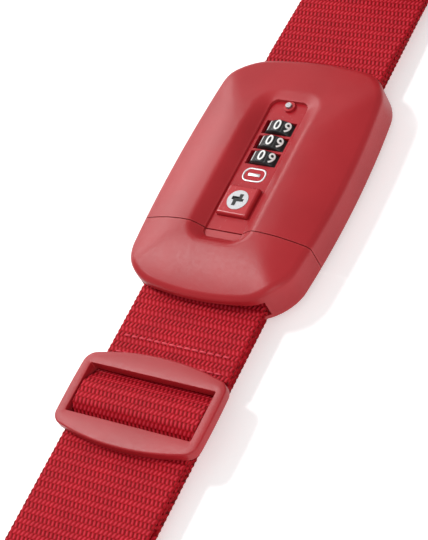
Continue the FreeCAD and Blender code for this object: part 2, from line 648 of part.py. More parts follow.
def face_plate():
    """The recess floor, with windows for the wheels, the button and the reset pin."""
    ledge = box("plate_ledge", ("sizes.seamAt + sizes.fitGap + 0.1", "-sizes.frameHalf + 0.3",
                                "sizes.plateLow"),
                ("sizes.frameFar - 0.3", "sizes.frameHalf - 0.3", "sizes.plateStep"))
    top = box("plate_top", ("sizes.seamAt + sizes.fitGap + 0.1", "-sizes.recessHalf + 0.15",
                            "sizes.plateStep - 0.1"),
              ("sizes.recessFar - 0.15", "sizes.recessHalf - 0.15", "sizes.plateTop"))
    boss = rod("reset_boss", "Z", ("sizes.resetAt", "0", "sizes.plateTop - 0.1"), "2.2", "1.0")
    holes = [rod("reset_hole", "Z", ("sizes.resetAt", "0", "10"), "sizes.resetRadius + 0.08", "10")]
    side = "sizes.wheelWide / 2 + sizes.wheelGap"
    for n in range(3):
        holes.append(box("wheel_window_%d" % n,
                         (wheel_x(n) + " - (%s)" % side, "-sizes.windowHalf", "10"),
                         (wheel_x(n) + " + %s" % side, "sizes.windowHalf", "20")))
    holes.append(box("button_window",
                     ("sizes.buttonAt - sizes.buttonLong / 2 - 0.2", "-sizes.buttonWide / 2 - 0.2", "10"),
                     ("sizes.buttonAt + sizes.buttonLong / 2 + 0.2", "sizes.buttonWide / 2 + 0.2", "20")))
    return cut("face_plate", fuse("plate_body", [ledge, top, boss]), fuse("plate_holes", holes))


def release_button():
    """A square push button with a skirt under the plate, feet and a bore for the key cylinder."""
    half_long, half_wide = "sizes.buttonLong / 2", "sizes.buttonWide / 2"
    cap = slab("button_cap", "XY_Plane",
               rectangle("-(%s)" % half_long, "-(%s)" % half_wide, half_long, half_wide),
               "sizes.buttonTop - sizes.flangeLow", at=("sizes.buttonAt", "0", "sizes.flangeLow"))
    top = size("sizes.buttonTop - sizes.flangeLow")
    round_edges(cap, "sizes.buttonEdge",
                lambda edge: all(abs(v.Point.z - top) < 1e-6 for v in edge.Vertexes), "cap_edge")
    skirt = box("button_skirt", ("sizes.buttonAt - 6.8", "-6.8", "sizes.flangeLow"),
                ("sizes.buttonAt + 6.8", "6.8", "sizes.flangeLow + sizes.flangeThick"))
    ears = box("button_ears", ("sizes.buttonAt - 1.6", "-9.4", "sizes.flangeLow"),
               ("sizes.buttonAt + 1.6", "9.4", "sizes.flangeLow + sizes.flangeThick"))
    feet = [box("button_foot_%d" % n, ("-10.0", low, "sizes.catchHigh + 0.72"),
                ("-8.4", high, "sizes.flangeLow + 0.1"))
            for n, (low, high) in enumerate((("-6.6", "-4.8"), ("4.8", "6.6")))]
    bore = rod("button_bore", "Z", ("sizes.buttonAt", "0", "5"), "sizes.keyRadius + sizes.runClear", "20")
    return cut("release_button", fuse("button_body", [cap, skirt, ears] + feet), bore)


def key_works():
    """The key cylinder in the button, with its stepped keyway, and the cam under it."""
    start = ("sizes.buttonAt", "0", "12.0")
    plug = rod("cylinder_body", "Z", start, "sizes.keyRadius", "sizes.buttonTop + 0.1 - 12.0")
    slots = fuse("keyway", [
        box("keyway_long", ("sizes.buttonAt - 0.55", "-2.3", "13"), ("sizes.buttonAt + 0.55", "1.4", "20")),
        box("keyway_step", ("sizes.buttonAt - 0.1", "-0.6", "13"), ("sizes.buttonAt + 1.3", "2.5", "20"))])
    cylinder = cut("key_cylinder", plug, slots)
    disc = rod("cam_disc", "Z", ("sizes.buttonAt", "0", "11.05"), "2.6", "0.9")
    lobe = box("cam_lobe", ("sizes.buttonAt - 3.9", "-1.2", "11.05"), ("sizes.buttonAt", "1.2", "11.95"))
    return [cylinder, fuse("cylinder_cam", [disc, lobe])]


def reset_pin():
    stem = rod("reset_stem", "Z", ("sizes.resetAt", "0", "12.2"), "sizes.resetRadius",
               "sizes.resetTop - 12.2")
    collar = rod("reset_collar", "Z", ("sizes.resetAt", "0", "12.2"), "1.8", "0.6")
    return fuse("reset_pin", [stem, collar])


def catch_works():
    """The rocking catch, drawn clear of the tongue, and the pin that it turns on."""
    low, high = "sizes.catchHigh - 0.6", "sizes.catchHigh + 0.6"
    arms = [box("catch_arm_%d" % n, ("-9.8", a, low), ("7.5", b, high))
            for n, (a, b) in enumerate((("-6.8", "-4.7"), ("4.7", "6.8")))]
    bridge = box("catch_bridge", ("4.6", "-6.8", low), ("7.5", "6.8", high))
    hook = box("catch_hook", ("4.9", "-3.4", "sizes.tongueLow + sizes.tongueThick + 0.15"),
               ("7.1", "3.4", "sizes.catchHigh"))
    bore = rod("catch_bore", "Y", ("sizes.catchAt", "-9", "sizes.catchHigh"), "0.4", "18")
    catch = cut("catch_rocker", fuse("catch_body", arms + [bridge, hook]), bore)
    axle = rod("catch_axle", "Y", ("sizes.catchAt", "-9.2", "sizes.catchHigh"), "0.36", "18.4")
    ends = [rod("catch_journal_%d" % n, "Y", ("sizes.catchAt", start, "sizes.catchHigh"), "0.8", "1.9")
            for n, start in enumerate(("-9.2", "7.3"))]
    return [catch, fuse("catch_pin", [axle] + ends)]


def tongue():
    """The plug's latch plate with the catch's window and a tapered tip."""
    half, tip = "sizes.tongueHalf", "sizes.tongueTip"
    body = slab("plug_tongue", "XY_Plane",
                [("-27.5", "-(%s)" % half, None), (tip + " - 2.5", "-(%s)" % half, None),
                 (tip, "-(%s) + 2" % half, None), (tip, half + " - 2", None),
                 (tip + " - 2.5", half, None), ("-27.5", half, None)],
                "sizes.tongueThick", at=("0", "0", "sizes.tongueLow"))
    pocket(body, "XY_Plane", rectangle("4.2", "-4", "7.8", "4"), "tongue_window")
    return body


# ---------------------------------------------------------------- slider
def slider():
    """The slider: a curved frame round the window, and the middle bar set low in it."""
    near, far, half = "sizes.sliderNear", "sizes.sliderFar", "sizes.sliderHalf"
    frame = slab("slider_plate", "XY_Plane",
                 [(far, "-" + half, "sizes.sliderSideArc"), (near, "-" + half, "sizes.sliderArc"),
                  (near, half, "sizes.sliderSideArc"), (far, half, "sizes.sliderArc")],
                 "sizes.sliderThick", at=("0", "0", "sizes.sliderLow"))
    round_edges(frame, "sizes.sliderCorner", upright, "slider_corners")
    top = size("sizes.sliderThick")
    round_edges(frame, "sizes.sliderEdge",
                lambda edge: all(abs(v.Point.z - top) < 1e-6 for v in edge.Vertexes), "slider_rim")
    pocket(frame, "XY_Plane",
           rectangle("sizes.windowFar", "-sizes.windowWide", "sizes.windowNear", "sizes.windowWide"),
           "slider_window")
    left, right = ("sizes.middleBar - sizes.middleWide / 2", "sizes.middleBar + sizes.middleWide / 2")
    top = "sizes.middleLow + sizes.middleThick"
    bar = box("middle_bar", (left, "-28", "sizes.middleLow"), (right, "28", top))
    lugs = [box("middle_lug_%d" % n, (left, low, "sizes.middleLow"), (right, high, "sizes.sliderLow + 1"))
            for n, (low, high) in enumerate((("-28", "-25.4"), ("25.4", "28")))]
    return fuse("slider_frame", [frame, bar] + lugs)


# ---------------------------------------------------------------- the whole strap
def all_pieces():
    pieces = belt_pieces() + stitching() + shells() + bases()
    pieces += [screws("lock"), screws("plug")]
    for part, bar in (("lock", "sizes.lockBar"), ("plug", "sizes.plugBar")):
        pieces.append(rod(part + "_strap_bar", "Y", (bar, "-sizes.barHalf", "sizes.barHigh"),
                          "sizes.barRadius", "2 * sizes.barHalf"))
    for n in range(3):
        pieces += [dial_wheel(n), clutch_sleeve(n)]
    pieces += [spindle(), detent_spring(), face_plate(), release_button(), reset_pin(), tongue()]
    pieces += springs() + key_works() + catch_works() + [slider()]
    return pieces


def check_and_write(pieces):
    doc.recompute()
    for thing in doc.Objects:
        if {"Invalid", "Error"} & set(thing.State):
            raise ValueError("%s failed: %s" % (thing.Label, thing.State))
    for piece in pieces:
        if piece.Shape.isNull() or not piece.Shape.isValid():
            raise ValueError(piece.Label + " has no valid shape")
    for piece in pieces:
        piece.Shape.exportStep("parts/%s.step" % piece.Label)
        limits = piece.Shape.BoundBox
        print("%-22s %d solids  %9.1f mm3  x %7.2f %7.2f  y %7.2f %7.2f  z %6.2f %6.2f" % (
            piece.Label, len(piece.Shape.Solids), piece.Shape.Volume,
            limits.XMin, limits.XMax, limits.YMin, limits.YMax, limits.ZMin, limits.ZMax))


check_and_write(all_pieces())
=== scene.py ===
"""The visual model of the luggage strap: webbing belt, combination-lock buckle and slider.

Lengths are in millimetres and are turned into metres when a mesh is made. The lights' places
and sizes are in metres.
+X runs along the belt from the slider to the far end of the lock, +Y across it, +Z up.
"""

import itertools
import json
import math

import bmesh
import bpy
import numpy as np
from mathutils import Matrix, Vector


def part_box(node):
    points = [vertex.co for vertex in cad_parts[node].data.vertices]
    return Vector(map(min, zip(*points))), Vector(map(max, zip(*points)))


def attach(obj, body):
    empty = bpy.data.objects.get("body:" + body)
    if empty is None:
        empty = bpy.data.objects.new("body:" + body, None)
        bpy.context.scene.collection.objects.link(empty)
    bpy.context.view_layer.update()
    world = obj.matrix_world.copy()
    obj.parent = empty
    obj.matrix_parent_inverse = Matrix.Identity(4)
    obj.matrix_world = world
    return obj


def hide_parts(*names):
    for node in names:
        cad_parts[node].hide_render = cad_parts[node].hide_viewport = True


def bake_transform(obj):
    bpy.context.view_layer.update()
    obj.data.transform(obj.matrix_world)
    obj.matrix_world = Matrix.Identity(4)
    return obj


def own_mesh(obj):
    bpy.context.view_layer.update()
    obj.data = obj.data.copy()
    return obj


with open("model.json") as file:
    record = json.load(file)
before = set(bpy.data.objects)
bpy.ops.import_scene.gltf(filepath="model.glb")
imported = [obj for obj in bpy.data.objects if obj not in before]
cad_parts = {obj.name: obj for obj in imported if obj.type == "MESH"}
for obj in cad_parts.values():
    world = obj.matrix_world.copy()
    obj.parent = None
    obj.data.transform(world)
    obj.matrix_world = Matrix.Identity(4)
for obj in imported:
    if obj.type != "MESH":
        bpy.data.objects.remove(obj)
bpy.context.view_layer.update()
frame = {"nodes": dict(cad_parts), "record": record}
MM = 0.001


# ---------------------------------------------------------------- sizes read from the frame
def node_box(node):
    """The low and high corners of a CAD node, in millimetres."""
    low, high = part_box(node)
    return [v / MM for v in low], [v / MM for v in high]


WHEELS = [node_box("dial_wheel_%d" % n) for n in (1, 2, 3)]
PLATE_HIGH = node_box("face_plate")[1]
KEY_LOW, KEY_HIGH = node_box("key_cylinder")
SEAM = 0.5 * (node_box("plug_top_shell")[1][0] + node_box("lock_top_shell")[0][0])
SEAM_GAP = 0.2
BELT_WIDTH = node_box("belt_upper_run")[1][1] - node_box("belt_upper_run")[0][1]
BELT_THICK = node_box("belt_upper_run")[1][2] - node_box("belt_upper_run")[0][2]
TOP_LAYER = 0.5 * (node_box("belt_upper_run")[0][2] + node_box("belt_upper_run")[1][2])
LAYER_PITCH = 1.8
SECOND_LAYER = TOP_LAYER - LAYER_PITCH
THIRD_LAYER = SECOND_LAYER - LAYER_PITCH
RETURN_SHIFT = node_box("belt_return_far")[1][1] - 0.5 * BELT_WIDTH


# ---------------------------------------------------------------- meshes
def add_object(name, data):
    """A new object in the scene that holds a mesh, text, lamp or camera."""
    added = bpy.data.objects.new(name, data)
    bpy.context.scene.collection.objects.link(added)
    return added


def shade_smooth(mesh, sharp_from=35):
    """Smooth shading, with edges that turn by more than sharp_from degrees kept sharp."""
    mesh.polygons.foreach_set("use_smooth", [True] * len(mesh.polygons))
    mesh.set_sharp_from_angle(angle=math.radians(sharp_from))


def mesh_object(name, points, faces, material, sharp_from=35):
    """A mesh piece from points in millimetres."""
    mesh = bpy.data.meshes.new(name)
    mesh.from_pydata((np.asarray(points, float) * MM).tolist(), [], faces)
    mesh.validate()
    shade_smooth(mesh, sharp_from)
    mesh.materials.append(material)
    return add_object(name, mesh)


def ring_faces(rings, count, closed=False):
    """Quads between rings that each have the same count of points."""
    faces = []
    for r in range(rings if closed else rings - 1):
        a, b = r * count, ((r + 1) % rings) * count
        for i in range(count):
            j = (i + 1) % count
            faces.append((a + i, a + j, b + j, b + i))
    return faces


def apply_modifiers(piece):
    """Replace the piece's mesh by the one that its modifiers give."""
    bpy.context.view_layer.update()
    graph = bpy.context.evaluated_depsgraph_get()
    result = bpy.data.meshes.new_from_object(piece.evaluated_get(graph))
    piece.modifiers.clear()
    piece.data = result
    shade_smooth(result)


def keep_side(piece, at, lock_side):
    """Cut the piece at x = at and keep what is on the lock's or the plug's side."""
    work = bmesh.new()
    work.from_mesh(piece.data)
    everything = work.verts[:] + work.edges[:] + work.faces[:]
    bmesh.ops.bisect_plane(work, geom=everything, plane_co=(at * MM, 0, 0), plane_no=(1, 0, 0),
                           clear_inner=lock_side, clear_outer=not lock_side, dist=1e-7)
    work.to_mesh(piece.data)
    work.free()


def block_mesh(name, low, high, material, bevel=0.0):
    """A block between two corners with rounded edges."""
    points = [(x, y, z) for x in (low[0], high[0]) for y in (low[1], high[1]) for z in (low[2], high[2])]
    faces = [(0, 1, 3, 2), (4, 6, 7, 5), (0, 4, 5, 1), (2, 3, 7, 6), (0, 2, 6, 4), (1, 5, 7, 3)]
    piece = mesh_object(name, points, faces, material)
    if bevel:
        rounding = piece.modifiers.new("rounding", "BEVEL")
        rounding.width = bevel * MM
        rounding.segments = 3
        apply_modifiers(piece)
    return piece


def join(name, pieces):
    """One piece out of several."""
    work = bmesh.new()
    for piece in pieces:
        work.from_mesh(piece.data)
    material = pieces[0].data.materials[0]
    mesh = bpy.data.meshes.new(name)
    work.to_mesh(mesh)
    work.free()
    for piece in pieces:
        bpy.data.objects.remove(piece)
    shade_smooth(mesh)
    mesh.materials.append(material)
    return add_object(name, mesh)


# ---------------------------------------------------------------- materials
def material_with_shader(name):
    """A new material, its nodes and its links."""
    material = bpy.data.materials.new(name)
    material.use_nodes = True
    return material, material.node_tree.nodes, material.node_tree.links


def object_noise(nodes, links, scale, detail=2.0, stretch=(1, 1, 1)):
    """Noise that is fixed to the piece, with scale in features per metre."""
    place = nodes.new("ShaderNodeTexCoord")
    mapping = nodes.new("ShaderNodeMapping")
    mapping.inputs["Scale"].default_value = stretch
    noise = nodes.new("ShaderNodeTexNoise")
    noise.inputs["Scale"].default_value = scale
    noise.inputs["Detail"].default_value = detail
    links.new(place.outputs["Object"], mapping.inputs["Vector"])
    links.new(mapping.outputs["Vector"], noise.inputs["Vector"])
    return noise.outputs["Fac"]


def ramp(nodes, links, value, stops):
    """A colour ramp with (position, colour) stops."""
    node = nodes.new("ShaderNodeValToRGB")
    elements = node.color_ramp.elements
    while len(elements) < len(stops):
        elements.new(0.5)
    for element, (position, colour) in zip(elements, stops):
        element.position = position
        element.color = (*colour, 1)
    links.new(value, node.inputs["Fac"])
    return node.outputs["Color"]


def mix_colour(nodes, links, factor, first, second, blend="MIX"):
    """Two colours mixed by a factor; each of the three is a socket or a value."""
    node = nodes.new("ShaderNodeMix")
    node.data_type = "RGBA"
    node.blend_type = blend
    for socket, value in ((node.inputs["Factor"], factor), (node.inputs["A"], first),
                          (node.inputs["B"], second)):
        if hasattr(value, "is_linked"):
            links.new(value, socket)
        else:
            socket.default_value = value if isinstance(value, float) else (*value, 1)
    return node.outputs["Result"]


def spread(nodes, links, value, low, high):
    """A value from 0 to 1 stretched to run from low to high."""
    node = nodes.new("ShaderNodeMapRange")
    node.inputs["To Min"].default_value = low
    node.inputs["To Max"].default_value = high
    links.new(value, node.inputs["Value"])
    return node.outputs["Result"]


def add_bump(nodes, links, shader, height, depth):
    """Bump from a height of 0 to 1 that stands depth millimetres."""
    bump = nodes.new("ShaderNodeBump")
    bump.inputs["Distance"].default_value = depth * MM
    bump.inputs["Strength"].default_value = 1.0
    links.new(height, bump.inputs["Height"])
    links.new(bump.outputs["Normal"], shader.inputs["Normal"])


def moulded_plastic(name, dark, light, worn, roughness, grain_depth, coat=0.0):
    """Moulded plastic: slow colour drift, fine grain and paler edges."""
    material, nodes, links = material_with_shader(name)
    shader = nodes["Principled BSDF"]
    drift = object_noise(nodes, links, 45, 3.0)
    body = ramp(nodes, links, drift, [(0.3, dark), (0.7, light)])
    edges = nodes.new("ShaderNodeNewGeometry").outputs["Pointiness"]
    wear = ramp(nodes, links, edges, [(0.53, (0, 0, 0)), (0.6, (0.5, 0.5, 0.5))])
    links.new(mix_colour(nodes, links, wear, body, worn), shader.inputs["Base Color"])
    patches = object_noise(nodes, links, 700, 4.0)
    links.new(spread(nodes, links, patches, roughness - 0.06, roughness + 0.08),
              shader.inputs["Roughness"])
    shader.inputs["Coat Weight"].default_value = coat
    shader.inputs["Coat Roughness"].default_value = 0.25
    shader.inputs["Specular IOR Level"].default_value = 0.32
    add_bump(nodes, links, shader, object_noise(nodes, links, 5200, 2.0), grain_depth)
    return material


def brushed_metal(name, dark, light, roughness, stretch=(1, 1, 1)):
    """Metal with brushing marks along one direction."""
    material, nodes, links = material_with_shader(name)
    shader = nodes["Principled BSDF"]
    shader.inputs["Metallic"].default_value = 1.0
    marks = object_noise(nodes, links, 2400, 4.0, stretch)
    links.new(ramp(nodes, links, marks, [(0.35, dark), (0.65, light)]), shader.inputs["Base Color"])
    links.new(spread(nodes, links, marks, roughness - 0.08, roughness + 0.12),
              shader.inputs["Roughness"])
    add_bump(nodes, links, shader, marks, 0.012)
    return material


def webbing(name):
    """Woven polyester: the weave's own height gives floats and gaps, with fibres on top, and paints shade
    into the gaps and a highlight onto the floats.
    """
    material, nodes, links = material_with_shader(name)
    shader = nodes["Principled BSDF"]
    level = nodes.new("ShaderNodeAttribute")
    level.attribute_name = "weave_light_level"
    place = nodes.new("ShaderNodeAttribute")
    place.attribute_name = "belt_place"
    stretched = nodes.new("ShaderNodeMapping")
    stretched.inputs["Scale"].default_value = (5.0, 0.9, 1.0)
    links.new(place.outputs["Vector"], stretched.inputs["Vector"])
    fibres = nodes.new("ShaderNodeTexNoise")
    fibres.inputs["Scale"].default_value = 2.2
    fibres.inputs["Detail"].default_value = 3.0
    links.new(stretched.outputs["Vector"], fibres.inputs["Vector"])
    # Painted shade in the weave's gaps and low parts, and a painted highlight on the float tops, from the
    # weave's height.
    yarn_with_painted_light = ramp(nodes, links, level.outputs["Fac"],
                [(0.0, WEB_GAP_SHADE), (0.3, WEB_LOW_SHADE), (0.62, WEB_MID), (1.0, WEB_FLOAT_HIGHLIGHT)])
    streaks = ramp(nodes, links, fibres.outputs["Fac"],
                   [(0.3, (0.72, 0.72, 0.72)), (0.7, (1.16, 1.16, 1.16))])
    threads = mix_colour(nodes, links, 1.0, yarn_with_painted_light, streaks, "MULTIPLY")
    drift = ramp(nodes, links, object_noise(nodes, links, 130, 3.0),
                 [(0.3, (0.9, 0.88, 0.9)), (0.7, (1.07, 1.05, 1.05))])
    links.new(mix_colour(nodes, links, 1.0, threads, drift, "MULTIPLY"), shader.inputs["Base Color"])
    links.new(spread(nodes, links, fibres.outputs["Fac"], 0.55, 0.8), shader.inputs["Roughness"])
    shader.inputs["Specular IOR Level"].default_value = 0.14
    add_bump(nodes, links, shader, fibres.outputs["Fac"], 0.09)
    return material


# Webbing colours by weave height: painted shade for the gaps and low parts, the yarn's own red in the middle,
# a painted highlight on the float tops.
WEB_GAP_SHADE = (0.070, 0.0002, 0.0008)
WEB_LOW_SHADE = (0.24, 0.0004, 0.0025)
WEB_MID = (0.43, 0.0012, 0.010)
WEB_FLOAT_HIGHLIGHT = (0.62, 0.032, 0.055)

SHELL_RED = moulded_plastic("shell_red", (0.33, 0.011, 0.016), (0.38, 0.015, 0.021),
                            (0.48, 0.05, 0.055), 0.38, 0.030)
TRIM_RED = moulded_plastic("trim_red", (0.36, 0.007, 0.014), (0.41, 0.010, 0.018),
                           (0.50, 0.04, 0.045), 0.24, 0.002, 0.3)
WHEEL_BLACK = moulded_plastic("wheel_black", (0.012, 0.012, 0.013), (0.02, 0.02, 0.021),
                              (0.09, 0.09, 0.09), 0.36, 0.012)
INNER_BLACK = moulded_plastic("inner_black", (0.02, 0.02, 0.022), (0.035, 0.035, 0.038),
                              (0.1, 0.1, 0.1), 0.5, 0.02)
# Near-black painted shade that stands for the key cylinder's slot.
KEYWAY_PAINTED_SHADE = moulded_plastic("keyway_painted_shade", (0.004, 0.004, 0.004), (0.01, 0.01, 0.01),
                               (0.03, 0.03, 0.03), 0.6, 0.02)
DIGIT_WHITE = moulded_plastic("digit_white", (0.72, 0.72, 0.70), (0.84, 0.84, 0.82),
                              (0.9, 0.9, 0.9), 0.5, 0.01)
MARK_SILVER = brushed_metal("mark_silver", (0.52, 0.52, 0.53), (0.70, 0.70, 0.71), 0.38, (1, 6, 1))
STEEL = brushed_metal("steel", (0.5, 0.5, 0.51), (0.72, 0.72, 0.73), 0.28, (1, 1, 9))
ZINC = brushed_metal("zinc", (0.42, 0.42, 0.43), (0.6, 0.6, 0.61), 0.42, (3, 1, 3))
KEY_STEEL = brushed_metal("key_steel", (0.30, 0.30, 0.31), (0.46, 0.46, 0.47), 0.5, (7, 1, 1))
BELT_RED = webbing("belt_red")
THREAD_RED = moulded_plastic("thread_red", (0.56, 0.030, 0.055), (0.68, 0.062, 0.085),
                             (0.75, 0.16, 0.18), 0.62, 0.05)

CAD_FINISH = {
    "belt_webbing": BELT_RED, "belt_thread": THREAD_RED, "shell_plastic": SHELL_RED,
    "trim_plastic": TRIM_RED, "inner_plastic": INNER_BLACK, "wheel_plastic": WHEEL_BLACK,
    "key_metal": KEY_STEEL, "steel": STEEL, "zinc": ZINC,
}


def dress_cad_nodes():
    """Give each CAD node the finish of its slot in the record."""
    slots = {part["node"]: part["material_slot"] for part in frame["record"]["subparts"]}
    for name, piece in frame["nodes"].items():
        finish = CAD_FINISH[slots[name]]
        if not piece.data.materials:
            piece.data.materials.append(finish)
        for place in piece.material_slots:
            place.material = finish


# ---------------------------------------------------------------- outlines and heights
def bulged_edge(start, end, radius, count, trim):
    """Points on an arc from start to end that bulges to the right, without trim at each end."""
    start, end = np.array(start, float), np.array(end, float)
    along = end - start
    chord = np.linalg.norm(along)
    outward = np.array([along[1], -along[0]]) / chord
    t = np.linspace(trim / chord, 1 - trim / chord, count)
    if radius:
        rise = np.sqrt(radius ** 2 - (0.5 * chord * (2 * t - 1)) ** 2)
        rise -= math.sqrt(radius ** 2 - 0.25 * chord ** 2)
    else:
        rise = np.zeros(count)
    return start + np.outer(t, along) + np.outer(rise, outward)


def rounded_outline(near, far, half, corner, end_arc=None, side_arc=None, counts=(44, 84, 10)):
    """A closed outline with bulging sides and rounded corners, anticlockwise from above."""
    end_count, side_count, corner_count = counts
    corners = [(far, -half), (far, half), (near, half), (near, -half)]
    arcs = [end_arc, side_arc, end_arc, side_arc]
    edges = [bulged_edge(corners[i], corners[(i + 1) % 4], arcs[i],
                         (end_count, side_count)[i % 2], corner * 1.15) for i in range(4)]
    points = []
    for i, edge in enumerate(edges):
        following = edges[(i + 1) % 4]
        tip = np.array(corners[(i + 1) % 4], float)
        points.extend(edge)
        for t in np.linspace(0, 1, corner_count + 2)[1:-1]:
            a, b, c = (1 - t) ** 2, 1.414 * t * (1 - t), t ** 2
            points.append((a * edge[-1] + b * tip + c * following[0]) / (a + b + c))
    return np.array(points)


def arc_height(x, start, end, radius):
    """The height at x of an upward arc through two points."""
    start, end = np.array(start, float), np.array(end, float)
    along = end - start
    chord = np.linalg.norm(along)
    normal = np.array([-along[1], along[0]]) / chord
    centre = 0.5 * (start + end) - normal * math.sqrt(radius ** 2 - 0.25 * chord ** 2)
    return centre[1] + np.sqrt(np.maximum(radius ** 2 - (x - centre[0]) ** 2, 0))


# Places on the buckle's top where one arc meets the next, as (distance, height).
CREST_NEAR_END, CREST_NEAR, CREST_FAR, CREST_FAR_END = (-43.5, 12.6), (-16, 17.7), (15, 18.1), (59.5, 11.2)
SHOULDER, SHOULDER_END = (12, 17.9), (34.3, 12.8)


def crest(x):
    """The height of the buckle along its middle."""
    near = arc_height(x, CREST_NEAR_END, CREST_NEAR, 70)
    middle = arc_height(x, CREST_NEAR, CREST_FAR, 700)
    far = arc_height(x, CREST_FAR, CREST_FAR_END, 150)
    return np.where(x > CREST_FAR[0], far, np.where(x > CREST_NEAR[0], middle, near))


def shoulder(y):
    """The height of the buckle across its widest part."""
    y = np.abs(y)
    start, height = SHOULDER
    crown = height + 0.0012 * (start ** 2 - y ** 2)
    return np.where(y > start, arc_height(y, SHOULDER, SHOULDER_END, 60), crown)


def buckle_top(x, y):
    """The crest and the shoulder, with a soft change from one to the other."""
    a, b, soft = crest(x), shoulder(y), 0.9
    mixing = np.maximum(soft - np.abs(a - b), 0) / soft
    return np.minimum(a, b) - mixing ** 2 * soft * 0.2


# ---------------------------------------------------------------- buckle
BUCKLE_FLOOR = node_box("lock_top_shell")[0][2]
BUCKLE_NEAR, BUCKLE_FAR, BUCKLE_HALF, BUCKLE_CORNER = -38.1, 54.4, 30.4, 9.0
BUCKLE_END_ARC, BUCKLE_SIDE_ARC = 110, 330
EDGE_ROUND = 0.55
WALL_THICK = 1.4
RECESS_NEAR, RECESS_FAR, RECESS_HALF, RECESS_CORNER = -24.6, 42.7, 13.2, 7.0
RECESS_SLOPE = 4.0
PLATE_TOP = PLATE_HIGH[2] - 0.9
SLOT_BOTTOM, LOCK_SLOT_TOP, PLUG_SLOT_TOP = 4.9, 9.45, 11.8


def buckle_outline(inset):
    """The buckle seen from above; inset 0 is its side wall."""
    return rounded_outline(BUCKLE_NEAR + inset, BUCKLE_FAR - inset, BUCKLE_HALF - inset, BUCKLE_CORNER,
                           BUCKLE_END_ARC - inset, BUCKLE_SIDE_ARC - inset)


def recess_outline(grow):
    """The recess seen from above; grow 0 is its rim."""
    return rounded_outline(RECESS_NEAR - 0.6 * grow, RECESS_FAR + 0.6 * grow, RECESS_HALF + grow,
                           RECESS_CORNER + 0.8 * grow)


def ring_at(outline, height):
    """The outline's points at one height, or each at its own."""
    return np.column_stack([outline, np.broadcast_to(height, len(outline))])


def over_top(outline):
    """The outline laid on the buckle's top."""
    return ring_at(outline, buckle_top(outline[:, 0], outline[:, 1]))


def buckle_skin():
    """The outer surface, from the bottom of the recess wall over the top to the lower edge."""
    foot = recess_outline(-RECESS_SLOPE)
    rings = [ring_at(foot, PLATE_TOP - 0.7), ring_at(foot, PLATE_TOP)]
    rim = recess_outline(0)
    rim_top = buckle_top(rim[:, 0], rim[:, 1])
    for share in np.linspace(0, 1, 14)[1:]:
        rise = 0.72 * share + 0.28 * math.sin(0.5 * math.pi * share)
        level = PLATE_TOP + rise * (rim_top - 0.06 - PLATE_TOP)
        rings.append(ring_at(recess_outline(-RECESS_SLOPE * (1 - share)), level))
    inner, outer = recess_outline(0.3), buckle_outline(EDGE_ROUND)
    for share in np.linspace(0, 1, 30)[1:]:
        rings.append(over_top((1 - share) * inner + share * outer))
    edge = buckle_outline(0)
    edge_top = buckle_top(edge[:, 0], edge[:, 1])
    for angle in (20, 40, 60, 78, 90):
        turn = math.radians(angle)
        outline = buckle_outline(EDGE_ROUND * (1 - math.sin(turn)))
        rings.append(ring_at(outline, edge_top - EDGE_ROUND * (1 - math.cos(turn))))
    for share in np.linspace(0, 1, 9)[1:]:
        level = (1 - share) * (edge_top - EDGE_ROUND) + share * (BUCKLE_FLOOR + 0.3)
        rings.append(ring_at(edge, level))
    rings.append(ring_at(buckle_outline(0.25), BUCKLE_FLOOR))
    return rings


def buckle_half(name, lock_side, slot):
    """One half of the buckle with its wall thickness and the slot for the strap."""
    rings = buckle_skin()
    count = len(rings[0])
    piece = mesh_object(name, np.vstack(rings), ring_faces(len(rings), count), SHELL_RED)
    keep_side(piece, SEAM + (SEAM_GAP if lock_side else -SEAM_GAP), lock_side)
    wall = piece.modifiers.new("wall", "SOLIDIFY")
    wall.thickness = WALL_THICK * MM
    wall.offset = -1.0
    wall.use_even_offset = True
    apply_modifiers(piece)
    cutter = block_mesh("cutter", *slot, SHELL_RED)
    opening = piece.modifiers.new("opening", "BOOLEAN")
    opening.operation = "DIFFERENCE"
    opening.object = cutter
    opening.solver = "EXACT"
    apply_modifiers(piece)
    bpy.data.objects.remove(cutter)
    return piece


def shells():
    """The two halves of the buckle; the plug's holds the near end of the recess floor."""
    half = 0.5 * BELT_WIDTH + 0.7
    lock = buckle_half("lock_shell", True, ((50, -half, SLOT_BOTTOM), (70, half, LOCK_SLOT_TOP)))
    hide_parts("lock_top_shell")
    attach(lock, "lock")
    plug = buckle_half("plug_shell_outer", False, ((-60, -half, SLOT_BOTTOM), (-36, half, PLUG_SLOT_TOP)))
    floor = block_mesh("recess_end", (RECESS_NEAR + 1.2, -9.9, 12.9),
                       (SEAM - SEAM_GAP, 9.9, PLATE_TOP), SHELL_RED)
    plug = join("plug_shell", [plug, floor])
    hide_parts("plug_top_shell")
    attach(plug, "plug")


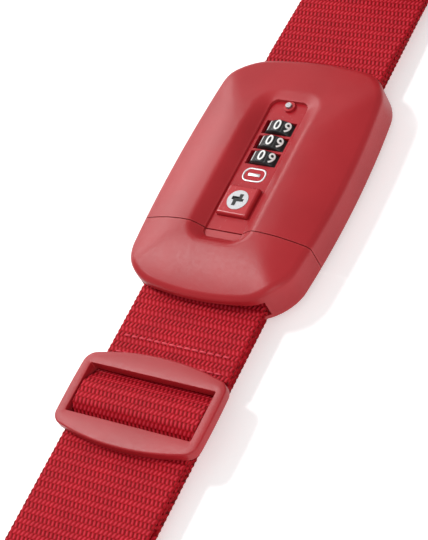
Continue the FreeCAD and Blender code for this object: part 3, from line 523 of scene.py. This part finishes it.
# ---------------------------------------------------------------- slider
def slider():
    """The slider's frame, rounded all round, with its sunk middle bar."""
    low, high = 9.3, 13.0
    near, far, half = -98.4, -71.9, 28.6
    window_near, window_far, window_half = -94.2, -75.3, 25.3
    bar_near, bar_far, bar_half, bar_low, bar_high = -88.2, -82.8, 27, 7.4, 9.4
    rail_near, rail_far, rail_width, rail_high = -95.6, -73.8, 1.95, 10.8
    fillet, lip = 0.5, 0.2

    def outer(inset):
        return rounded_outline(near + inset, far - inset, half - inset, 2.7, 100 - inset, 260 - inset,
                               (60, 30, 8))

    def window(inset):
        return rounded_outline(window_near - inset, window_far + inset, window_half + inset, 0.5,
                               counts=(60, 30, 8))

    rings = []
    steps = [math.radians(a) for a in (0, 22, 45, 68, 90)]
    for turn in steps:
        rings.append(ring_at(window(lip * (1 - math.cos(turn))), high - lip * (1 - math.sin(turn))))
    for share in (0.25, 0.5, 0.75):
        crown = 0.15 * math.sin(math.pi * share)
        rings.append(ring_at((1 - share) * window(lip) + share * outer(fillet), high + crown))
    for turn in reversed(steps):
        rings.append(ring_at(outer(fillet * (1 - math.cos(turn))), high - fillet * (1 - math.sin(turn))))
    for turn in steps:
        rings.append(ring_at(outer(fillet * (1 - math.cos(turn))), low + fillet * (1 - math.sin(turn))))
    for turn in reversed(steps):
        rings.append(ring_at(window(lip * (1 - math.cos(turn))), low + lip * (1 - math.sin(turn))))
    frame_part = mesh_object("slider_outer", np.vstack(rings),
                             ring_faces(len(rings), len(rings[0]), closed=True), SHELL_RED)
    bar = block_mesh("slider_bar", (bar_near, -bar_half, bar_low), (bar_far, bar_half, bar_high),
                     SHELL_RED, 0.8)
    rails = [block_mesh("slider_rail", (rail_near, side, bar_low), (rail_far, side + rail_width, rail_high),
                        SHELL_RED, 0.4) for side in (25.25, -27.2)]
    piece = join("slider_body", [frame_part, bar] + rails)
    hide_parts("slider_frame")
    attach(piece, "slider")


# ---------------------------------------------------------------- number wheels
PRINT_SUNK = 0.08
WHEEL_BORE = 3.4
DIGIT_ANGLE = math.radians(36)
DIGIT_SIZE = 5.9


def wheel_middle(low, high):
    """The x and z of a wheel's middle and its radius under the print."""
    return 0.5 * (low[0] + high[0]), 0.5 * (low[2] + high[2]), 0.5 * (high[2] - low[2]) - PRINT_SUNK


def wheel_barrel(name, low, high):
    """A number wheel: a drum with rounded edges and a shallow groove between the digits."""
    centre_x, centre_z, radius = wheel_middle(low, high)
    half = 0.5 * (high[0] - low[0])
    count = 240
    turns = np.linspace(0, 2 * math.pi, count + 1)[:-1]
    from_gap = np.abs(np.mod(turns / DIGIT_ANGLE, 1) - 0.5)
    groove = 0.16 * np.exp(-(from_gap / 0.05) ** 2)
    rounding = [(0, 0.75), (0.12, 0.35), (0.4, 0.08), (0.7, 0)]
    side = [(-half, WHEEL_BORE)] + [(inset - half, radius - drop) for inset, drop in rounding]
    profile = side + [(0, radius)] + [(-x, r) for x, r in reversed(side)]
    rings = []
    for x, r in profile:
        reach = r - groove if r > radius - 0.5 else np.full(count, r)
        rings.append(np.column_stack([np.full(count, centre_x + x), reach * np.sin(turns),
                                      centre_z + reach * np.cos(turns)]))
    return mesh_object(name, np.vstack(rings), ring_faces(len(rings), count, closed=True), WHEEL_BLACK)


def digit(wheel_name, value, low, high):
    """A printed digit that follows the drum, with its top towards +X."""
    text = bpy.data.curves.new("digit_text", "FONT")
    text.body = str(value)
    text.align_x = "CENTER"
    text.align_y = "CENTER"
    text.size = DIGIT_SIZE
    text.extrude = 0.035
    text.offset = 0.07
    carrier = add_object("digit_text", text)
    bpy.context.view_layer.update()
    mesh = bpy.data.meshes.new_from_object(carrier.evaluated_get(bpy.context.evaluated_depsgraph_get()))
    bpy.data.objects.remove(carrier)
    work = bmesh.new()
    work.from_mesh(mesh)
    for at in np.arange(-2.1, 2.11, 0.3):
        everything = work.verts[:] + work.edges[:] + work.faces[:]
        bmesh.ops.bisect_plane(work, geom=everything, plane_co=(at, 0, 0), plane_no=(1, 0, 0))
    centre_x, centre_z, radius = wheel_middle(low, high)
    for vertex in work.verts:
        across, along, raised = vertex.co
        turn = DIGIT_ANGLE * value - 0.92 * across / radius
        reach = radius + raised + 0.01
        place = (centre_x + 0.98 * along, reach * math.sin(turn), centre_z + reach * math.cos(turn))
        vertex.co = Vector(place) * MM
    work.to_mesh(mesh)
    work.free()
    mesh.materials.clear()
    mesh.materials.append(DIGIT_WHITE)
    return add_object("%s_digit_%d" % (wheel_name, value), mesh)


def number_wheels():
    """The three wheels, each with its ten digits."""
    for n, (low, high) in enumerate(WHEELS, start=1):
        wheel = wheel_barrel("number_wheel_%d" % n, low, high)
        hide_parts("dial_wheel_%d" % n)
        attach(wheel, "wheel_%d" % n)
        for value in range(10):
            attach(digit("wheel_%d" % n, value, low, high), "wheel_%d" % n)


# ---------------------------------------------------------------- small lock details
def tube_ring(name, outline, height, radius, material):
    """A raised ring that follows an outline on the plate."""
    count = len(outline)
    following = np.roll(outline, -1, 0) - np.roll(outline, 1, 0)
    sideways = np.column_stack([following[:, 1], -following[:, 0]])
    sideways /= np.linalg.norm(sideways, axis=1)[:, None]
    rings = []
    for turn in np.linspace(0, 2 * math.pi, 13)[:-1]:
        rings.append(np.column_stack([outline + sideways * radius * math.cos(turn),
                                      np.full(count, height + 0.6 * radius * math.sin(turn))]))
    return mesh_object(name, np.vstack(rings), ring_faces(len(rings), count, closed=True), material)


def plate_mark():
    """A plain embossed mark on the plate: a rounded ring with a short bar in it."""
    level = PLATE_TOP
    outline = rounded_outline(4.2, 9.4, 4.3, 2.0, None, None, (16, 10, 12))
    ring = tube_ring("mark_ring", outline, level, 0.34, MARK_SILVER)
    bar = block_mesh("mark_bar", (6.2, -2.4, level - 0.1), (7.4, 2.4, level + 0.22), MARK_SILVER, 0.14)
    mark = join("plate_mark", [ring, bar])
    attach(mark, "lock")


def keyway():
    """A near-black patch on the key cylinder's face, painted shade for its stepped slot."""
    x, top = 0.5 * (KEY_LOW[0] + KEY_HIGH[0]), KEY_HIGH[2]
    steps = (((-0.3, -1.5), (2.5, -0.1), 0.02), ((-0.6, -1.7), (0.6, 1.7), 0.025),
             ((-2.5, 0.1), (0.3, 1.5), 0.03))
    blades = [block_mesh("keyway_step", (x + near[0], near[1], top - 0.4),
                         (x + far[0], far[1], top + proud), KEYWAY_PAINTED_SHADE) for near, far, proud in steps]
    slot = join("keyway", blades)
    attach(slot, "key")


# ---------------------------------------------------------------- springs
def shrinking_spring(node):
    """A copy of a CAD spring, in place of the CAD node, that moves with the lock."""
    source = frame["nodes"][node]
    piece = add_object("sprung_" + node, source.data.copy())
    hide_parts(node)
    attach(piece, "lock")
    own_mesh(piece)


def springs():
    """The springs that something presses on."""
    shrinking_spring("button_springs")
    shrinking_spring("reset_spring")
    shrinking_spring("catch_spring")


# ---------------------------------------------------------------- webbing
COLUMN_COUNT = 31
COLUMN = BELT_WIDTH / COLUMN_COUNT
ROW = 2.0
RELIEF = 0.30
FINE_STEP, COARSE_STEP = ROW / 6, ROW / 3


def weave_level(across, along):
    """Height of the weave from 0 in a gap to 1 on a float, for places in millimetres."""
    row = np.floor(along / ROW)
    within = along / ROW - row
    odd = np.mod(row, 2)
    lean = np.where(odd > 0.5, -0.34, 0.34)
    column = across / COLUMN + 0.5 * odd + lean * (within - 0.5)
    ridge = 0.5 + 0.5 * np.cos(2 * math.pi * column)
    arch = np.sin(math.pi * within)
    floats = np.where(odd > 0.5, 0.34 + 0.66 * ridge ** 0.75, ridge ** 0.6)
    return np.clip(floats * (0.62 + 0.38 * arch ** 0.6), 0, 1)


def distances(line):
    """How far along a line each of its points is."""
    return np.concatenate([[0], np.cumsum(np.linalg.norm(np.diff(line, axis=0), axis=1))])


def evenly_spaced(line, count):
    """The same line in that many points at even distances, and those distances."""
    travelled = distances(line)
    wanted = np.linspace(0, travelled[-1], count)
    return np.column_stack([np.interp(wanted, travelled, line[:, k]) for k in (0, 1)]), wanted


def rounded_path(corners, radii, step):
    """Points every step along straight runs joined by arcs."""
    corners = [np.array(c, float) for c in corners]
    last_point = corners[0]
    path = []
    for i in range(1, len(corners) - 1):
        before, here, after = corners[i - 1], corners[i], corners[i + 1]
        a, b = before - here, after - here
        a, b = a / np.linalg.norm(a), b / np.linalg.norm(b)
        opening = math.acos(max(-1, min(1, float(a @ b))))
        radius = radii[i - 1]
        reach = radius / math.tan(0.5 * opening)
        centre = here + (a + b) / np.linalg.norm(a + b) * radius / math.sin(0.5 * opening)
        first, last = here + a * reach - centre, here + b * reach - centre
        angle = math.atan2(first[0] * last[1] - first[1] * last[0], float(first @ last))
        path.append(np.array([last_point, centre + first]))
        turns = np.linspace(0, angle, max(4, int(abs(angle) * 24)))
        arc = [centre + np.array([first[0] * math.cos(t) - first[1] * math.sin(t),
                                  first[0] * math.sin(t) + first[1] * math.cos(t)]) for t in turns]
        path.append(np.array(arc))
        last_point = arc[-1]
    path.append(np.array([last_point, corners[-1]]))
    line = np.vstack(path)
    gaps = np.linalg.norm(np.diff(line, axis=0), axis=1)
    line = line[np.concatenate([[True], gaps > 1e-6])]
    return evenly_spaced(line, max(3, int(round(distances(line)[-1] / step)) + 1))


def belt_strip(path, travelled, shift, fine):
    """Points, faces, weave levels and belt places of one strip that follows a path in XZ."""
    per_column = 6 if fine else 3
    half, thick = 0.5 * BELT_WIDTH, 0.5 * BELT_THICK
    across = np.linspace(-half, half, COLUMN_COUNT * per_column + 1)
    tangent = np.gradient(path, travelled, axis=0)
    tangent /= np.linalg.norm(tangent, axis=1)[:, None]
    normal = np.column_stack([-tangent[:, 1], tangent[:, 0]])
    along, sideways = np.meshgrid(travelled, across, indexing="ij")
    scallop = 1 + 0.006 * np.cos(2 * math.pi * along / ROW)
    y = sideways * np.where(np.abs(sideways) > half - 1.2, scallop, 1.0)
    edge = np.clip((half - np.abs(sideways)) / 0.85, 0, 1)
    rounding = np.sqrt(np.clip(1 - (1 - edge) ** 2, 0, 1))
    shift = np.broadcast_to(shift, len(travelled))[:, None]
    sides = []
    for sign, offset in ((1, 0.0), (-1, 0.5 * COLUMN)):
        level = weave_level(sideways + offset, along)
        height = (thick - RELIEF * (1 - level)) * rounding
        point = np.stack([path[:, 0][:, None] + sign * normal[:, 0][:, None] * height, y + shift,
                          path[:, 1][:, None] + sign * normal[:, 1][:, None] * height], axis=-1)
        # The colour level drops towards the rounded side edges, which paints shade there.
        sides.append((point.reshape(-1, 3), (level * (0.55 + 0.45 * rounding)).ravel()))
    points = np.vstack([sides[0][0], sides[1][0]])
    weave_light_levels = np.concatenate([sides[0][1], sides[1][1]])
    places = np.tile(np.column_stack([sideways.ravel(), along.ravel(), np.zeros(along.size)]), (2, 1))
    rows, columns = along.shape
    grid = np.arange(rows * columns).reshape(rows, columns)
    quads = np.stack([grid[:-1, :-1], grid[1:, :-1], grid[1:, 1:], grid[:-1, 1:]], -1).reshape(-1, 4)
    below = grid + rows * columns
    under = np.stack([below[:-1, :-1], below[:-1, 1:], below[1:, 1:], below[1:, :-1]], -1).reshape(-1, 4)
    ends = [np.stack([grid[0, :-1], grid[0, 1:], below[0, 1:], below[0, :-1]], -1),
            np.stack([grid[-1, 1:], grid[-1, :-1], below[-1, :-1], below[-1, 1:]], -1)]
    return points, np.vstack([quads, under] + ends), weave_light_levels, places


def belt_piece(name, strips):
    """A webbing piece out of one or more strips."""
    points, faces, weave_light_levels, places, count = [], [], [], [], 0
    for strip in strips:
        points.append(strip[0])
        faces.append(strip[1] + count)
        weave_light_levels.append(strip[2])
        places.append(strip[3])
        count += len(strip[0])
    mesh = bpy.data.meshes.new(name)
    points, faces = np.vstack(points) * MM, np.vstack(faces)
    mesh.from_pydata(points.tolist(), [], faces.tolist())
    mesh.attributes.new("weave_light_level", "FLOAT", "POINT").data.foreach_set(
        "value", np.concatenate(weave_light_levels).astype(np.float32))
    mesh.attributes.new("belt_place", "FLOAT_VECTOR", "POINT").data.foreach_set(
        "vector", np.vstack(places).astype(np.float32).ravel())
    work = bmesh.new()
    work.from_mesh(mesh)
    bmesh.ops.remove_doubles(work, verts=work.verts, dist=1e-6)
    bmesh.ops.recalc_face_normals(work, faces=work.faces)
    work.to_mesh(mesh)
    work.free()
    mesh.polygons.foreach_set("use_smooth", [True] * len(mesh.polygons))
    mesh.materials.append(BELT_RED)
    piece = add_object(name, mesh)
    return piece


def routed(name, corners, radii, fine=True):
    """A belt piece along a route, and its length in metres."""
    path, travelled = rounded_path(corners, radii, FINE_STEP if fine else COARSE_STEP)
    piece = belt_piece(name, [belt_strip(path, travelled, 0.0, fine)])
    return piece, travelled[-1] * MM


def declare(piece, length, *nodes, rests_on=()):
    """Hide the nodes that the webbing stands for; its flat size and what it lies on are not used."""
    if nodes:
        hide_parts(*nodes)


FOLD_END, FOLD_INSIDE, SLIDER_END, TURN_START = -69.5, -41.0, -102.6, -152.95
LOOP_TOP, LOOP_BOTTOM = 10.75, 5.65


def fold_pieces():
    """The belt's stitched end round the plug's bar, and the layer under it."""
    z, second = TOP_LAYER, SECOND_LAYER
    top, length = routed("webbing_fold", [
        (FOLD_END, z), (-38.6, z), (-34.75, LOOP_TOP), (-29.65, LOOP_TOP), (-29.65, LOOP_BOTTOM),
        (-34.75, LOOP_BOTTOM), (-38.6, second), (FOLD_INSIDE, second)], [4, 3, 2.4, 2.4, 3, 4])
    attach(top, "plug")
    declare(top, length, "belt_end_fold", rests_on=["webbing_under_fold"])
    under, length = routed("webbing_under_fold", [
        (FOLD_INSIDE, second), (-69.7, second)], [], fine=False)
    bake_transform(under)
    declare(under, length, rests_on=["webbing_back_outer"])


def slider_pieces():
    """The belt through the slider and its upper run, the sewn end, and the lower run."""
    z, second, third = TOP_LAYER, SECOND_LAYER, THIRD_LAYER
    over, length = routed("webbing_over_slider", [
        (-69.8, second), (-72, 6.75), (-76, 8.2), (-82.3, 12.15), (-89.9, 12.15), (-93.6, z),
        (TURN_START, z)], [3, 3, 2, 1.6, 1.6])
    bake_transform(over)
    declare(over, length, "belt_through_slider", "belt_upper_run", rests_on=["webbing_lower_run"])
    sewn, length = routed("webbing_sewn_end", [
        (-102.4, third), (-91, third), (-87, 6.42), (-81.82, 6.42), (-81.82, 10.38),
        (-89.18, 10.38), (-92.18, second), (-123, second)], [3, 3, 1.2, 1.2, 1.3, 1.5])
    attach(sewn, "slider")
    declare(sewn, length, "belt_sewn_end", rests_on=["webbing_lower_run"])
    lower, length = routed("webbing_lower_run", [
        (SLIDER_END, third), (-143, third), (-149.5, second), (TURN_START, second)], [6, 6], fine=False)
    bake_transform(lower)
    declare(lower, length, "belt_lower_run", rests_on=["webbing_back_inner"])


TURN_X, TURN_Z, ROLL_X, ROLL_Z = -153.05, 4.55, 132.5, 25.0
ROLL_START = ROLL_X - 18.4
ROLL_TURNS, ROLL_PITCH = 2.45, 7.3


def back_piece(name, radius):
    """One layer of the turn at the near end and of the run back under the buckle."""
    turns = np.linspace(0, math.pi, 40)
    turn = np.column_stack([TURN_X - radius * np.sin(turns), TURN_Z + radius * np.cos(turns)])
    line = np.vstack([[TURN_START, TURN_Z + radius], turn, [ROLL_START, TURN_Z - radius]])
    path, travelled = evenly_spaced(line, int(distances(line)[-1] / COARSE_STEP))
    share = np.clip(travelled / (math.pi * radius), 0, 1)
    shift = RETURN_SHIFT * share * share * (3 - 2 * share)
    piece = belt_piece(name, [belt_strip(path, travelled, shift, fine=False)])
    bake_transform(piece)
    return piece, travelled[-1] * MM


def back_pieces():
    """The two layers that turn at the near end and run back under the buckle."""
    outer, length = back_piece("webbing_back_outer", 3.7)
    declare(outer, length, "belt_turn_outer", "belt_return_near", "belt_return_far")
    inner, length = back_piece("webbing_back_inner", 1.9)
    declare(inner, length, "belt_turn_inner", rests_on=["webbing_back_outer"])


def lock_pieces():
    """The belt round the lock's bar, and the four layers rolled up beyond it."""
    z, second, third = TOP_LAYER, SECOND_LAYER, THIRD_LAYER
    loop, length = routed("webbing_lock_loop", [
        (114.1, 6.35), (102, 6.35), (66, z), (54.4, z), (49.55, LOOP_TOP), (44.45, LOOP_TOP),
        (44.45, LOOP_BOTTOM), (49.55, LOOP_BOTTOM), (54.4, second), (66, second), (102, third - 0.1),
        (114.1, third - 0.1)], [20, 20, 4, 3, 2.4, 2.4, 3, 4, 20, 20])
    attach(loop, "lock")
    declare(loop, length, "belt_lock_loop", rests_on=["webbing_back_inner"])
    strips, total = [], 0.0
    layers = ((0.85, RETURN_SHIFT), (2.65, RETURN_SHIFT), (4.55, 0.0), (6.35, 0.0))
    for height, shift in layers:
        turns = np.linspace(0, 2 * math.pi * ROLL_TURNS, 500)
        radius = ROLL_Z - height - ROLL_PITCH * turns / (2 * math.pi)
        spiral = np.column_stack([ROLL_X + radius * np.sin(turns), ROLL_Z - radius * np.cos(turns)])
        line = np.vstack([[ROLL_START, height], spiral])
        path, travelled = evenly_spaced(line, int(distances(line)[-1] / COARSE_STEP))
        strips.append(belt_strip(path, travelled, shift, fine=False))
        total += travelled[-1] * MM
    roll = belt_piece("webbing_roll", strips)
    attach(roll, "lock")
    declare(roll, total, "belt_roll")


def stitches():
    """Two rows of thread stitches that hold the folded end."""
    points, faces = [], []
    count, first_y, pitch, half_length = 14, -20.15, 3.1, 1.15
    around, stations = 10, 9
    surface = TOP_LAYER + 0.5 * BELT_THICK
    turns = np.linspace(0, 2 * math.pi, around + 1)[:-1]
    for x, n in itertools.product((-60.7, -67.3), range(count)):
        y = first_y + pitch * n
        first = len(points)
        for s in np.linspace(-1, 1, stations):
            arch = surface - 0.12 + 0.26 * math.cos(0.5 * math.pi * s) ** 0.8
            radius = 0.40 * (1 - 0.35 * s * s)
            points += [(x + radius * math.cos(t), y + half_length * s, arch + 0.75 * radius * math.sin(t))
                       for t in turns]
        faces += [(first + r * around + i, first + r * around + (i + 1) % around,
                   first + (r + 1) * around + (i + 1) % around, first + (r + 1) * around + i)
                  for r in range(stations - 1) for i in range(around)]
        faces.append(tuple(first + i for i in range(around - 1, -1, -1)))
        faces.append(tuple(first + (stations - 1) * around + i for i in range(around)))
    piece = mesh_object("fold_threads", points, faces, THREAD_RED, 60)
    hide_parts("fold_stitching")
    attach(piece, "plug")


# ---------------------------------------------------------------- stage, lights and camera
AZIMUTH, ELEVATION, ROLL = math.radians(-36.952), math.radians(47.309), math.radians(-33.223)
DISTANCE, LENS_LENGTH, SENSOR_WIDTH = 636.25, 125.0533, 36.0
TARGET = Vector((-29.535, 0.778, 9.1))


def camera():
    """The camera at the photograph's viewing angle."""
    back = Vector((math.sin(AZIMUTH) * math.cos(ELEVATION), -math.cos(AZIMUTH) * math.cos(ELEVATION),
                   math.sin(ELEVATION)))
    level_right = Vector((math.cos(AZIMUTH), math.sin(AZIMUTH), 0))
    level_up = level_right.cross(-back)
    right = math.cos(ROLL) * level_right + math.sin(ROLL) * level_up
    up = -math.sin(ROLL) * level_right + math.cos(ROLL) * level_up
    lens = bpy.data.cameras.new("camera")
    lens.sensor_width = SENSOR_WIDTH
    lens.lens = LENS_LENGTH
    lens.clip_start, lens.clip_end = 0.01, 20
    eye = add_object("camera", lens)
    turn = Matrix((right, up, back)).transposed().to_4x4()
    eye.matrix_world = Matrix.Translation((TARGET + DISTANCE * back) * MM) @ turn
    bpy.context.scene.camera = eye


def floor():
    """A plain pale floor just under the strap."""
    material, nodes, links = material_with_shader("floor_white")
    shader = nodes["Principled BSDF"]
    patches = object_noise(nodes, links, 30, 3.0)
    links.new(ramp(nodes, links, patches, [(0.3, (0.91, 0.91, 0.91)), (0.7, (0.93, 0.93, 0.93))]),
              shader.inputs["Base Color"])
    shader.inputs["Roughness"].default_value = 0.7
    shader.inputs["Emission Color"].default_value = (1, 1, 1, 1)
    shader.inputs["Emission Strength"].default_value = 0.35
    reach, level = 4000, -0.1
    corners = [(-reach, -reach, level), (reach, -reach, level), (reach, reach, level), (-reach, reach, level)]
    plane = mesh_object("floor", corners, [(0, 1, 2, 3)], material)


def area_light(name, place, aim, size, power):
    """A rectangular light that points at aim."""
    lamp = bpy.data.lights.new(name, "AREA")
    lamp.shape = "RECTANGLE"
    lamp.size, lamp.size_y = size
    lamp.energy = power
    holder = add_object(name, lamp)
    holder.location = place
    holder.rotation_euler = (Vector(aim) - Vector(place)).to_track_quat("-Z", "Y").to_euler()


def lights():
    """White surroundings and three soft lights."""
    world = bpy.data.worlds.new("studio")
    world.use_nodes = True
    world.node_tree.nodes["Background"].inputs["Color"].default_value = (1, 1, 1, 1)
    world.node_tree.nodes["Background"].inputs["Strength"].default_value = 0.46
    bpy.context.scene.world = world
    middle = (-0.02, 0.0, 0.0)
    area_light("key", (0.05, 0.52, 0.80), middle, (0.16, 0.15), 4.6)
    area_light("side", (0.38, 0.80, 0.46), middle, (0.6, 0.35), 4.2)
    area_light("fill", (-0.45, -0.6, 0.55), middle, (0.7, 0.6), 3.0)
    bpy.context.scene.view_settings.view_transform = "Standard"


# ---------------------------------------------------------------- the whole scene
camera()
floor()
lights()
dress_cad_nodes()
shells()
slider()
number_wheels()
plate_mark()
keyway()
springs()
fold_pieces()
slider_pieces()
back_pieces()
lock_pieces()
stitches()
